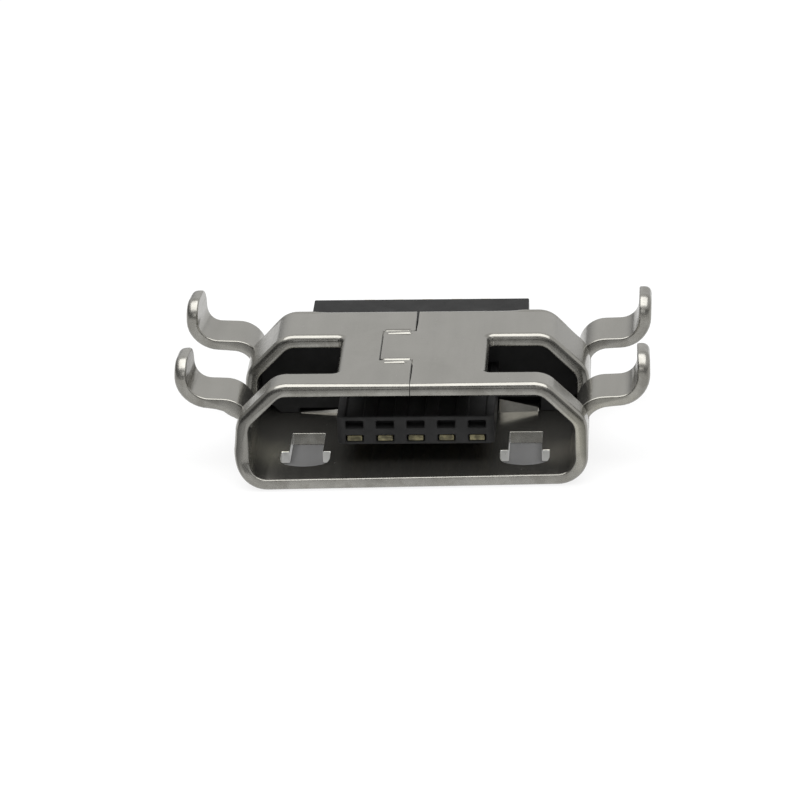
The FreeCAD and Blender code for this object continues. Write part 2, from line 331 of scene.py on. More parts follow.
platedSheet = makeFinish("platedSheet", dict(
    metallic=0.88, clean=(0.258, 0.251, 0.229), marked=(0.240, 0.234, 0.212), grain=9000.0,
    draw=(1.0, 0.15, 1.0), speckle=0.35, marks=700.0, low=0.40, high=0.72, streak=0.05,
    rough=(0.18, 0.25), spot=0.05, bump=0.12, depth=0.000004,
    # painted light: lighter yellowish patches low on the cavity's two sides stand in for light reaching them
    paintedLightAndShade=(((-0.0031, -0.0020, 0.0004), 0.0010, (0.66, 0.64, 0.54)),
            ((0.0031, -0.0020, 0.0004), 0.0009, (0.60, 0.57, 0.50)))))
shearedEdge = makeFinish("shearedEdge", dict(
    metallic=0.88, clean=(0.290, 0.284, 0.262), marked=(0.236, 0.229, 0.207), grain=12000.0,
    draw=(1.0, 1.0, 0.35), speckle=0.5, marks=3000.0, low=0.38, high=0.66, streak=0.12,
    rough=(0.20, 0.32), spot=0.08, bump=0.22, depth=0.000006, waver=0.10,
    # painted light on the mouth rim's right side and painted shade on its left side
    paintedLightAndShade=(((0.0041, -0.0031, 0.0013), 0.0014, (0.42, 0.405, 0.335)),
            ((-0.0037, -0.0031, 0.0011), 0.0013, (0.205, 0.200, 0.185))),
    burnishPaintedShade=((0.0, 0.30), (0.18, 0.42), (0.36, 0.54), (0.52, 0.72), (0.68, 0.98), (0.86, 1.0), (1.0, 0.80))))
# a pale finish whose high base colour is painted light, brightening the latch ears' rims that lie in the
# cavity's shade
earRimPaintedLight = makeFinish("earRimPaintedLight", dict(
    metallic=0.80, clean=(0.76, 0.76, 0.74), marked=(0.68, 0.68, 0.66), grain=12000.0,
    draw=(1.0, 1.0, 0.35), speckle=0.4, marks=2000.0, low=0.40, high=0.66, streak=0.05,
    rough=(0.26, 0.34), spot=0.05, bump=0.08, depth=0.000004))
blackMoulding = makeFinish("blackMoulding", dict(
    metallic=0.0, clean=(0.026, 0.026, 0.026), marked=(0.034, 0.034, 0.034), grain=14000.0,
    draw=(1.0, 1.0, 1.0), speckle=0.7, marks=900.0, low=0.45, high=0.75, streak=0.12,
    rough=(0.30, 0.44), spot=0.15, bump=0.30, depth=0.000005, specular=0.02))
thinGold = makeFinish("thinGold", dict(
    metallic=1.0, clean=(0.62, 0.50, 0.26), marked=(0.46, 0.37, 0.20), grain=11000.0,
    draw=(1.0, 0.10, 1.0), speckle=0.4, marks=1500.0, low=0.40, high=0.72, streak=0.12,
    rough=(0.22, 0.34), spot=0.15, bump=0.20, depth=0.000004))
cutGold = makeFinish("cutGold", dict(
    metallic=0.9, clean=(0.215, 0.195, 0.115), marked=(0.085, 0.078, 0.050), grain=12000.0,
    draw=(0.6, 1.0, 1.0), speckle=0.5, marks=6000.0, low=0.36, high=0.62, streak=0.20,
    rough=(0.30, 0.45), spot=0.15, bump=0.40, depth=0.000006))
print("finishes made")


# The shell

shellSizes = {
    "sheet": 0.27, "halfMouth": 3.45, "innerTop": 2.12, "shoulder": 0.70, "shoulderBend": 0.32,
    "cornerBend": 0.38, "crownDepth": 4.11, "wallDepth": 5.31,
    # widest rounding of a sheared edge, and the shares of it at the other edges
    "rollover": 0.145, "innerSoft": 0.28, "latchSoft": 0.12,
    "seamGap": 0.03, "tabFront": 1.355, "tabRear": 2.905, "tabReach": 0.70, "tabCorner": 0.10,
    # the seam's width over its gap at the mouth, before the tab and at the rear, and where it changes
    "gapes": (0.55, 1.30, 1.80), "frontGapeRun": (0.05, 0.5), "rearGapeRun": (3.035, 3.4),
    "tabClear": (0.30, 0.13),
    "windowFront": 0.75, "windowRear": 2.64, "windowEnd": 1.59, "windowCorner": 0.10, "sill": 1.00,
    "legWidth": 1.15, "frontLeg": 1.00, "rearLeg": 4.16, "hornRound": 0.42,
    "latchCentre": 2.35, "latchHalf": 0.355, "latchEar": 0.17, "latchFront": 0.57, "latchRear": 2.29,
    "earFront": 0.77, "earRear": 1.33, "earRound": 0.11,
    "lugCentre": 2.16, "lugHalf": 0.46, "lugLead": 0.09, "lugTop": 3.40, "lugRear": 3.95,
    "lugHeights": (0.08, 0.30), "lugFall": (0.07, 0.22), "lugSide": 0.05, "lugDent": 0.25,
    "ridgeHeight": 0.035, "ridgeCrest": 0.11, "ridgeRun": 0.06, "rollDrop": 0.06, "rollRun": 0.10,
    # for the front and the rear cross slit: reach of the ridge in front of it and of the roll behind it
    "slitReach": [((-0.61, -0.12), (-0.64, -0.02)), ((-0.61, -0.07), (-0.685, -0.10))],
    "slitFade": (0.05, 0.06),
    "skew": (0.035, 0.03), "skewTop": 0.75,
    "bulge": 0.05, "bulgeFrom": 3.3, "bulgeHeight": 0.80, "bulgeSpread": 0.28,
    "burrHeight": 0.05, "burrRun": 0.18, "burrReach": (2.0, 2.3, 2.9, 3.2),
    # sheet depth at the wide wall's outer edge, where the painted burnish shade is lifted, and the depths on
    # legs and horns
    "edgeFade": 0.75, "fadeHeights": (0.25, 0.9), "legDepth": 0.32, "hornDepth": 0.82,
    "hornReach": (4.4, 4.8),
    # further lines of the skin across the crown, the tab and the floor, and along the socket
    "floorFront": 0.36, "straightFrom": 3.2, "crownLine": 0.85, "tabLines": (0.10, 0.14, 0.18),
    "bowLine": 0.19, "floorLines": (0.35, 0.8, 1.3, 2.98), "depthLines": (1.8, 2.35, 3.6, 4.55, 4.9, 5.15),
}

# Each leg: upper face at root and horn, bends of the upper face, how far it droops to its front edge,
# how much it swells below at the root, how the horn turns about the upright and leans out, and its tip.
legSizes = [
    dict(side=-1, start=1.00, root=1.640, horn=1.695, rootBend=0.63, hornBend=0.43, reach=5.045,
         droop=0.01, swell=0.12, turn=0.04, lean=0.0, tip=2.515),
    dict(side=-1, start=4.16, root=1.645, horn=1.700, rootBend=0.62, hornBend=0.39, reach=5.065,
         droop=0.01, swell=0.03, turn=0.055, lean=0.01, tip=2.54),
    dict(side=1, start=1.00, root=1.640, horn=1.690, rootBend=0.63, hornBend=0.41, reach=5.035,
         droop=0.025, swell=0.045, turn=0.01, lean=0.0, tip=2.53),
    dict(side=1, start=4.16, root=1.640, horn=1.670, rootBend=0.62, hornBend=0.40, reach=5.035,
         droop=0.02, swell=0.02, turn=0.0, lean=0.04, tip=2.54),
]


# The section clockwise from the crown's middle: runs of (length, turn) down to the floor's middle.
def sectionRuns(size):
    cut = size["shoulderBend"] * math.tan(math.pi / 8)
    bend, corner = size["shoulderBend"] * math.pi / 4, size["cornerBend"] * math.pi / 2
    sideTop = size["innerTop"] - size["shoulder"] - cut
    return [(size["halfMouth"] - size["shoulder"] - cut, 0), (bend, -math.pi / 4),
            (size["shoulder"] * math.sqrt(2) - 2 * cut, 0), (bend, -math.pi / 4),
            (sideTop - size["sheet"] - size["cornerBend"], 0), (corner, -math.pi / 2),
            (size["halfMouth"] - size["cornerBend"], 0)]


# Lines round the section: closer together where a bend, a corner or an opening's edge lies.
def sectionMarks(size, runs):
    ends = runEnds(runs)
    half, total, windowEnd = size["seamGap"] / 2, ends[-1], size["windowEnd"]
    sill = ends[5] - (size["sill"] - size["sheet"] - size["cornerBend"])
    halfSide = np.concatenate([
        [half, size["crownLine"]], windowEnd + np.linspace(0, size["windowCorner"], 5),
        np.linspace(windowEnd + 0.2, ends[1], 6), np.linspace(ends[1], ends[2], 8),
        np.linspace(ends[2], ends[3], 6), np.linspace(ends[3], ends[4], 8),
        np.linspace(sill, ends[5], 4), np.linspace(ends[5], ends[6], 13)])
    wide = size["latchHalf"] + size["latchEar"]
    latch = np.array([0, size["bowLine"], size["latchHalf"], wide - size["earRound"], wide])
    lug = np.array([size["lugHalf"] - size["lugSide"], size["lugHalf"]])
    floor = np.concatenate([size["latchCentre"] - latch, size["latchCentre"] + latch,
                            size["lugCentre"] - lug, size["lugCentre"] + lug, size["floorLines"]])
    right = np.concatenate([halfSide, total - floor])
    reach, inner = size["tabReach"], size["tabCorner"]
    tab = np.concatenate([half + inner / 2 * np.linspace(0, 1, 4), size["tabLines"],
                          reach - half - inner * np.linspace(0, 1, 5), [reach + half]])
    return inOrder(right, -right, -tab, [total]), ends, sill, total


# Lines along the socket: one set of depths for the crown and one for the floor, line by line.
def depthMarks(size):
    gap, inner, outer = size["seamGap"], size["tabCorner"], size["tabCorner"] / 2
    front, rear, corner = size["tabFront"], size["tabRear"], size["windowCorner"]
    quarters, thirds = np.linspace(0, 1, 5), np.array([0, 0.33, 0.67, 1])
    ridge = size["ridgeCrest"] + size["ridgeRun"] * quarters
    crown = inOrder(
        [0], np.linspace(0.08, size["windowFront"], 4), size["windowFront"] + corner * quarters,
        size["windowRear"] - corner * quarters, front - gap - ridge, rear - ridge,
        front - gap - outer * thirds, front + inner * quarters, rear - inner * quarters,
        rear + gap + outer * thirds, [rear + gap + 2 * outer],
        [size["lugTop"] - size["lugLead"], size["lugTop"], size["lugRear"], size["straightFrom"]],
        [size["frontLeg"], size["frontLeg"] + size["legWidth"], size["rearLeg"], size["wallDepth"]],
        [size["crownDepth"] - size["burrRun"], size["crownDepth"]], size["depthLines"])
    knots = [(0, 0), (size["windowFront"], size["floorFront"]), (size["frontLeg"], size["earFront"]),
             (front + inner, size["earRear"]), (size["windowRear"] - corner, size["latchRear"]),
             (size["straightFrom"],) * 2, (size["wallDepth"],) * 2]
    return crown, np.interp(crown, *np.array(knots).T)


# The cells that stay: all but the windows, the seam's slit, the rear opening and the latch openings.
def keepCells(size, marks, crown, floor, sill, total):
    s = (marks + np.roll(marks, -1)) / 2
    s[-1] = total
    s = s[:, None]
    y, yFloor = ((crown[1:] + crown[:-1]) / 2)[None], ((floor[1:] + floor[:-1]) / 2)[None]
    gap, reach, front, rear = size["seamGap"], size["tabReach"], size["tabFront"], size["tabRear"]
    half = gap / 2
    slit = between(s, -half, half) & ((y < front) | (y > rear))
    slit |= between(s, -reach - half, half) & (between(y, front - gap, front) | between(y, rear, rear + gap))
    slit |= between(s, -reach - half, -reach + half) & between(y, front - gap, rear + gap)
    window = between(abs(s), size["windowEnd"], sill) & between(y, size["windowFront"], size["windowRear"])
    behind = (abs(s) < sill) & (y > size["crownDepth"])
    offset = abs(total - abs(s) - size["latchCentre"]) - size["latchHalf"]
    latch = (offset < size["latchEar"]) & between(yFloor, size["earFront"], size["earRear"])
    latch |= (offset < 0) & between(yFloor, size["earRear"], size["latchRear"])
    return ~(slit | window | behind | latch)


# The sleeve's skin: section(s) carried along y, with corners rounded first in the (s, y) plane.
def sleeveSkin(size):
    runs = sectionRuns(size)
    marks, ends, sill, total = sectionMarks(size, runs)
    crown, floor = depthMarks(size)
    share = smoothStep(abs(marks), sill, ends[6])[:, None]
    s = np.repeat(marks[:, None], len(crown), 1)
    y = (1 - share) * crown + share * floor
    keep = keepCells(size, marks, crown, floor, sill, total)
    corner, end = size["windowCorner"], size["windowEnd"]
    wide, early, earFront = size["latchHalf"] + size["latchEar"], size["earRound"], size["earFront"]
    for side in (-1, 1):
        for edge, way in ((size["windowFront"], 1), (size["windowRear"], -1)):
            s, y = roundCorner(s, y, (side * (end + corner), edge + way * corner), (side * end, edge))
        for way in (-1, 1):                              # the latch openings' ears
            edge = total - size["latchCentre"] + way * wide
            s, y = roundCorner(s, y, (side * (edge - way * early), earFront + early), (side * edge, earFront))
    gap, bend, front, rear = size["seamGap"], size["tabCorner"], size["tabFront"], size["tabRear"]
    half = gap / 2
    inSlit = half - size["tabReach"]
    for edge, way in ((front, 1), (rear, -1)):
        s, y = roundCorner(s, y, (inSlit + bend, edge + way * bend), (inSlit, edge))
        s, y = roundCorner(s, y, (-half - bend / 2, edge - way * (gap + bend / 2)), (-half, edge - way * gap))
    # the seam is tight at the mouth and gapes at the rear
    atMouth, atTab, atRear = size["gapes"]
    gape = np.where(y > rear, 1 + (atRear - 1) * smoothStep(y, *size["rearGapeRun"]),
                    atMouth + (atTab - atMouth) * smoothStep(y, *size["frontGapeRun"]))
    besideTab = between(y, front - size["tabClear"][0], rear + size["tabClear"][1])
    s = np.where((abs(abs(s) - half) < near) & ~besideTab, s * gape, s)
    x, z, heading = pathPoints((0, size["innerTop"]), 0.0, runs, abs(s))
    side = np.where(s < 0, -1, 1)
    x, normalX, normalZ = x * side, -np.sin(heading) * side, np.cos(heading)
    # the latch openings' front edge bows forward, with 1 - offset squared
    onFloor = abs(s) > ends[6] - near
    offset = (abs(x) - size["latchCentre"]) / wide
    bow = (earFront - size["latchFront"]) * np.clip(1 - offset * offset, 0, 1)
    y = np.where(onFloor & (abs(y - earFront) < near), y - bow, y)
    # the wide wall's front edge stands a little forward on the left and back on the right
    forward = (size["skew"][0] - size["skew"][1] * x) * (1 - smoothStep(z, size["sheet"], size["skewTop"]))
    y = y - forward * np.clip(1 - y / size["floorFront"], 0, 1)
    # a lug's lower line runs closer to its upper one where the lug is lower
    lead, height = size["lugLead"], lugHeight(size, x)
    onLug = onFloor & (abs(y - size["lugTop"] + lead) < near) & (height > 0)
    y = np.where(onLug, size["lugTop"] - lead * height / size["lugHeights"][1], y)
    return x, y, z, normalX, normalZ, keep, marks, crown, sill


# A lug's height: highest beside the tongue, lower by its fall at the far side, with steep sides.
def lugHeight(size, x):
    offset = abs(x) - size["lugCentre"]
    share = np.clip(offset / size["lugHalf"] / 2 + 0.5, 0, 1)
    left, right = [height - share * fall for height, fall in zip(size["lugHeights"], size["lugFall"])]
    return np.where(x > 0, right, left) * np.clip((size["lugHalf"] - abs(offset)) / size["lugSide"], 0, 1)


# Its front face leans back at one angle everywhere, and it falls evenly to its rear.
def lugRise(size, x, y):
    top = size["lugTop"]
    return lugHeight(size, x) * np.interp(y, [top - near, top, size["lugRear"]], [0, 1, 0])


# In front of each cross slit a ridge: a smooth slope up over its run, then straight down to the slit.
# Behind each slit the edge rolls down in a straight slope.
def ridgeRise(size, x, y):
    rise = np.zeros(x.shape)
    crest, (leftFade, rightFade) = size["ridgeCrest"], size["slitFade"]
    for edge, reach in zip((size["tabFront"] - size["seamGap"], size["tabRear"]), size["slitReach"]):
        ridge, roll = [smoothStep(x, left, left + leftFade) * smoothStep(-x, -right, rightFade - right)
                       for left, right in reach]
        ahead, behind = edge - y, y - edge - size["seamGap"]
        slope = smoothStep(-ahead, -crest - size["ridgeRun"], -crest)
        rise += size["ridgeHeight"] * slope * np.clip(ahead / crest, 0, 1) * ridge
        rise -= size["rollDrop"] * np.clip(1 - behind / size["rollRun"], 0, 1) * (behind > -near) * roll
    return rise


# A burr at the rear edge near the shoulders: it rises evenly over its run and fades along the edge.
def burrRise(size, across, y):
    inStart, inEnd, outStart, outEnd = size["burrReach"]
    along = smoothStep(across, inStart, inEnd) * (1 - smoothStep(across, outStart, outEnd))
    share = np.clip((y - size["crownDepth"]) / size["burrRun"] + 1, 0, 1) * (y < size["crownDepth"] + near)
    return size["burrHeight"] * along * share


# A leg's skin: the side profile of its upper face is carried across it, the lower face lies one sheet
# below. At the tip the half width follows a quarter circle of the horn's rounding.
def legSkin(size, leg, lines):
    width, sheet, hornRound = size["legWidth"], size["sheet"], size["hornRound"]
    run = leg["reach"] - sheet - size["halfMouth"]
    climb = math.atan2(leg["horn"] - leg["root"], run)
    turn = math.pi / 2 - climb
    cut = math.tan(turn / 2)
    flat = run / math.cos(climb) - (leg["rootBend"] + leg["hornBend"]) * cut
    runs = [(leg["root"] - leg["rootBend"] * cut - size["sill"], 0), (leg["rootBend"] * turn, -turn),
            (flat, 0), (leg["hornBend"] * turn, turn), (leg["tip"] - leg["horn"] - leg["hornBend"] * cut, 0)]
    root, foot, out, upright, top = runEnds(runs)[1:]
    tip = top - hornRound * (1 - np.sin(np.radians([0, 20, 38, 54, 68, 80, 90])))
    stations = inOrder(np.linspace(root, foot, 13), np.linspace(foot, out, 3),
                       np.linspace(out, upright, 11), [(upright + tip[0]) / 2], tip)
    x, z, heading = pathPoints((size["halfMouth"], size["sill"]), math.pi / 2, runs, stations)
    over = np.clip(stations - tip[0], 0, hornRound)
    halfWidth = width / 2 - hornRound + np.sqrt(hornRound ** 2 - over ** 2)
    middle = (lines[0] + lines[-1]) / 2
    y = middle + (lines - middle)[None] * (halfWidth / (width / 2))[:, None]
    forward = (middle - y) / width                       # 0.5 at the front edge, -0.5 at the rear edge
    standing = smoothStep(stations, out, upright)
    droop = leg["droop"] * smoothStep(stations, root, foot) * (1 - standing)
    lean = leg["lean"] * (stations - out).clip(0) / (top - out)
    swell = leg["swell"] * smoothStep(stations, 0, 0.6 * foot) * (1 - smoothStep(stations, 0.7 * foot, out))
    z = z[:, None] - 2 * forward * droop[:, None]
    x = x[:, None] + 2 * forward * leg["turn"] * standing[:, None] + lean[:, None]
    thick = sheet + swell[:, None] * (0.6 + 0.8 * forward)
    normalX, normalZ = [np.broadcast_to(v[:, None], y.shape) for v in (np.sin(heading), -np.cos(heading))]
    return x * leg["side"], y, z, normalX * leg["side"], normalZ, thick


# The sleeve and the legs share their points along the sills. The inner skin carries the lugs, the outer
# skin lies one sheet outside it, and the rim between them is the sheared edge.
def makeShell(size, legs):
    x, y, z, normalX, normalZ, keep, marks, crown, sill = sleeveSkin(size)
    index = np.arange(x.size).reshape(x.shape)
    after = np.roll(index, -1, 0)
    faces = [np.stack([index[:, :-1], after[:, :-1], after[:, 1:], index[:, 1:]], -1)[keep]]
    parts = [(x, y, z, normalX, normalZ, np.full(x.shape, size["sheet"]))]
    sleeveCount = count = x.size
    for leg in legs:
        row = int(np.argmin(abs(marks - leg["side"] * sill)))
        reach = np.flatnonzero(between(crown, leg["start"] - near, leg["start"] + size["legWidth"] + near))
        part = legSkin(size, leg, crown[reach])
        added = count + np.arange(part[0].size).reshape(part[0].shape)
        grid = np.concatenate([index[row, reach][None], added])
        quads = np.stack([grid[:-1, :-1], grid[:-1, 1:], grid[1:, 1:], grid[1:, :-1]], -1).reshape(-1, 4)
        faces.append(quads if leg["side"] > 0 else quads[:, ::-1])
        parts.append(part)
        count += part[0].size
    x, y, z, normalX, normalZ, thick = [np.concatenate([part[k].ravel() for part in parts]) for k in range(6)]
    onSleeve = np.arange(count) < sleeveCount
    rise = np.where(z < size["sheet"] + near, lugRise(size, x, y), 0)
    inner = np.stack([x, y, z + rise], 1)
    raised = np.where(z > size["innerTop"] - near, ridgeRise(size, x, y), 0)
    raised += np.where(z > size["innerTop"] - size["shoulder"], burrRise(size, abs(x), y), 0) * onSleeve
    outer = np.stack([x + normalX * thick, y, z + normalZ * thick + size["lugDent"] * rise + raised], 1)
    # the left side wall swells a little above its lower bend
    swell = size["bulge"] * np.exp(-((z - size["bulgeHeight"]) / size["bulgeSpread"]) ** 2)
    outer[:, 0] -= swell * (x < -size["bulgeFrom"]) * onSleeve
    points = np.concatenate([outer, inner])
    skin = np.concatenate(faces)
    allFaces, rim, corners = closeSkins(skin, outer)

    # the seam's edges stay sharp, the latch openings' are a little soft, and the rest roll over outside
    middle = (points[rim].sum(1) + points[rim + count].sum(1)) / 4
    seamReach = (-size["tabReach"] - 0.1, 0.08)
    onSeam = between(middle[:, 0], *seamReach) & between(middle[:, 1], 0.01, size["crownDepth"] - 0.01)
    onSeam &= middle[:, 2] > size["innerTop"]
    onLatch = (middle[:, 2] < size["sheet"]) & between(middle[:, 1], 0.3, size["latchRear"] + 0.2)
    outerSoft = np.select([onSeam, onLatch], [0, size["latchSoft"]], 1.0)
    innerSoft = np.select([onSeam, onLatch], [0, size["latchSoft"]], size["innerSoft"])
    place = outer[corners[:, 0]]
    atSeam = between(place[:, 0], *seamReach) & (place[:, 2] > size["innerTop"])
    softness = (np.concatenate([rim, rim + count, corners]),
                np.concatenate([outerSoft, innerSoft, np.where(atSeam, 0, size["innerSoft"])]))

    # a line through each latch opening's middle is kept, and the lugs' front faces have sharp edges
    rows = [int(np.argmin(abs(marks - side * (marks[-1] - size["latchCentre"])))) for side in (-1, 1)]
    kept = np.stack([index[rows, :-1], index[rows, 1:]], -1).reshape(-1, 2)
    centre = inner[skin].mean(1)
    onLead = (centre[:, 2] < size["sill"]) & (abs(abs(centre[:, 0]) - size["lugCentre"]) < size["lugHalf"])
    onLead &= between(centre[:, 1], size["lugTop"] - size["lugLead"], size["lugTop"])
    sharp = faceEdges(skin[onLead])
    sharp = sharp[abs(np.diff(inner[sharp][:, :, 0], axis=1)[:, 0]) > 0.01] + count

    # the latch ears' rims take the pale painted-light finish, the other rims the sheared edge
    onEar = onLatch & (middle[:, 1] < size["latchRear"] - 0.01)
    finish = np.concatenate([np.zeros(2 * len(skin), int), np.where(onEar, 2, 1)])
    # the sheet depth sets the painted burnish shade across each sheared edge, lifted at the wide wall and on
    # the horns
    atHorn = smoothStep(abs(x), *size["hornReach"])
    outerDepth = np.where(onSleeve, size["edgeFade"] * (1 - smoothStep(z, *size["fadeHeights"])), 1.0)
    innerDepth = np.where(onSleeve, 1.0, size["legDepth"] + (size["hornDepth"] - size["legDepth"]) * atHorn)
    return buildMesh("shell", points, allFaces, finish, softness, np.concatenate([outerDepth, innerDepth]),
                     np.concatenate([kept, kept + count]), sharp)


finishMesh("shellSkin", makeShell(shellSizes, legSizes), [platedSheet, shearedEdge, earRimPaintedLight],
           shellSizes["rollover"], 4, "shell", weighted=True)


# The insulator

insulatorSizes = {
    "floor": 0.27, "top": 2.12, "halfWidth": 3.45, "slantTop": (2.5974, 1.2674), "slantFoot": (3.05, 0.67),
    "baseFront": 3.40, "collarRear": 4.40, "blockHalf": 2.37, "blockFront": 4.0, "blockRear": 5.38,
    "ledgeTop": 1.07, "ledgeRear": 5.31, "tongueLeft": -1.60, "tongueRight": 1.74, "tongueFront": 0.50,
    "tongueRear": 3.6, "tongueFoot": 0.80, "tongueTop": 1.44, "tongueCorner": 0.09, "softEdge": 0.03,
    "pitch": 0.65, "middleContact": 0.07, "slotHalf": 0.19, "grooveFloor": 1.38, "grooveStop": 0.56,
    "pocket": (1.17, 1.34), "pocketRear": 0.80, "slot": (0.86, 1.01), "lip": 0.74,
    "lugCentre": 2.16, "lugHalf": 0.48, "lugDepth": (3.38, 3.97), "lugTops": (0.37, 0.59),
}
contactCentres = [insulatorSizes["middleContact"] + insulatorSizes["pitch"] * k for k in range(-2, 3)]


# Boxes mark the cells of a grid as full or empty; each wall between a full and an empty cell is a face.
def makeInsulator(size, centres):
    half, floor, top, past = size["halfWidth"], size["floor"], size["top"], 9     # past every face
    tongueX, front = (size["tongueLeft"], size["tongueRight"]), size["tongueFront"]
    full = [((-half, half), (size["baseFront"], size["collarRear"]), (floor, top)),
            ((-size["blockHalf"], size["blockHalf"]), (size["blockFront"], size["blockRear"]), (floor, top)),
            ((-half, half), (size["blockFront"], size["ledgeRear"]), (floor, size["ledgeTop"])),
            (tongueX, (front, size["tongueRear"]), (size["tongueFoot"], size["tongueTop"]))]
    empty = [((side * size["lugCentre"] - size["lugHalf"], side * size["lugCentre"] + size["lugHalf"]),
              size["lugDepth"], (0, lugTop)) for side, lugTop in zip((-1, 1), size["lugTops"])]
    for centre in centres:
        wide = (centre - size["slotHalf"], centre + size["slotHalf"])
        empty += [(wide, (size["grooveStop"], size["baseFront"]), (size["grooveFloor"], past)),
                  (wide, (0, size["pocketRear"]), size["pocket"]), (wide, (0, past), size["slot"]),
                  (wide, (size["lip"], size["baseFront"]), (0, size["slot"][0]))]
    corner, slants = size["tongueCorner"], (size["slantTop"], size["slantFoot"])
    slantX = [side * slant[0] for side in (-1, 1) for slant in slants]
    extra = [[tongueX[0] + corner, tongueX[1] - corner] + slantX + centres, [front + corner],
             [slant[1] for slant in slants]]
    planes = []
    for axis in range(3):
        values = np.array([v for box in full + empty for v in box[axis]] + extra[axis])
        reach = [v for box in full for v in box[axis]]
        planes.append(np.unique(np.round(values[(values >= min(reach)) & (values <= max(reach))], 5)))
    middles = [(p[1:] + p[:-1]) / 2 for p in planes]
    solid = np.zeros([len(m) for m in middles], bool)
    for boxes, value in ((full, True), (empty, False)):
        for box in boxes:
            solid[np.ix_(*[between(m, *span) for m, span in zip(middles, box)])] = value
    padded = np.pad(solid, 1)
    shape = [len(p) for p in planes]
    faces = []
    for axis in range(3):
        low, high = np.delete(padded, -1, axis), np.delete(padded, 0, axis)
        trim = tuple(slice(None) if k == axis else slice(1, -1) for k in range(3))
        low, high = low[trim], high[trim]
        u, v = np.roll(np.eye(3, dtype=int), -1 - axis, 0)[:2]
        for wall, flip in ((low & ~high, False), (high & ~low, True)):
            cell = np.argwhere(wall)
            quad = np.stack([np.ravel_multi_index((cell + step).T, shape) for step in (0, u, u + v, v)], 1)
            faces.append(quad[:, ::-1] if flip else quad)
    faces = np.concatenate(faces)
    points = np.stack(np.meshgrid(*planes, indexing="ij"), -1).reshape(-1, 3)
    points = slantCorner(points, 0, 2, size["slantTop"], (half, top), True)
    points = slantCorner(points, 0, 2, size["slantFoot"], (half, floor), True)
    onTongue = points[:, 1] < front + corner + near
    for inner, outer in ((tongueX[1] - corner, tongueX[1]), (tongueX[0] + corner, tongueX[0])):
        points = slantCorner(points, 0, 1, (inner, front + corner), (outer, front), onTongue)
    # the lines through the middle of each slot are kept
    pairs = faceEdges(faces)
    kept = pairs[(abs(points[pairs, 0][:, :, None] - centres) < near).any(2).all(1)]
    return buildMesh("insulator", points, faces, kept=kept)


# The square (u, v) at a corner becomes a triangle: both are scaled by the larger over their sum.
# In the section the same is done on both sides.
def slantCorner(points, first, second, inner, outer, chosen):
    bothSides = second == 2
    sign = np.sign(points[:, first]) if bothSides else 1
    u = (sign * points[:, first] - inner[0]) / (outer[0] - inner[0])
    v = (points[:, second] - inner[1]) / (outer[1] - inner[1])
    inside = chosen & between(u, near, 1 + near) & between(v, near, 1 + near)
    scale = np.where(inside, np.maximum(u, v) / np.where(inside, u + v, 1), 1)
    across, along = inner[0] + u * scale * (outer[0] - inner[0]), inner[1] + v * scale * (outer[1] - inner[1])
    moved = points.copy()
    moved[:, first] = np.where(inside, sign * across, points[:, first])
    moved[:, second] = np.where(inside, along, points[:, second])
    return moved


finishMesh("insulatorBody", makeInsulator(insulatorSizes, contactCentres), [blackMoulding],
           insulatorSizes["softEdge"], 2, "insulator")


# The contacts

contactSizes = {
    "width": 0.33, "tailWidth": 0.28, "thickness": 0.15, "front": 0.53, "height": 0.935, "bend": 0.215,
    "rise": 5.625, "tailHeight": 1.625, "tailEnd": 6.40, "edge": 0.03, "narrowFrom": 5.40, "narrowTo": 5.50,
    "nose": 0.075, "softEdge": 0.004,
}


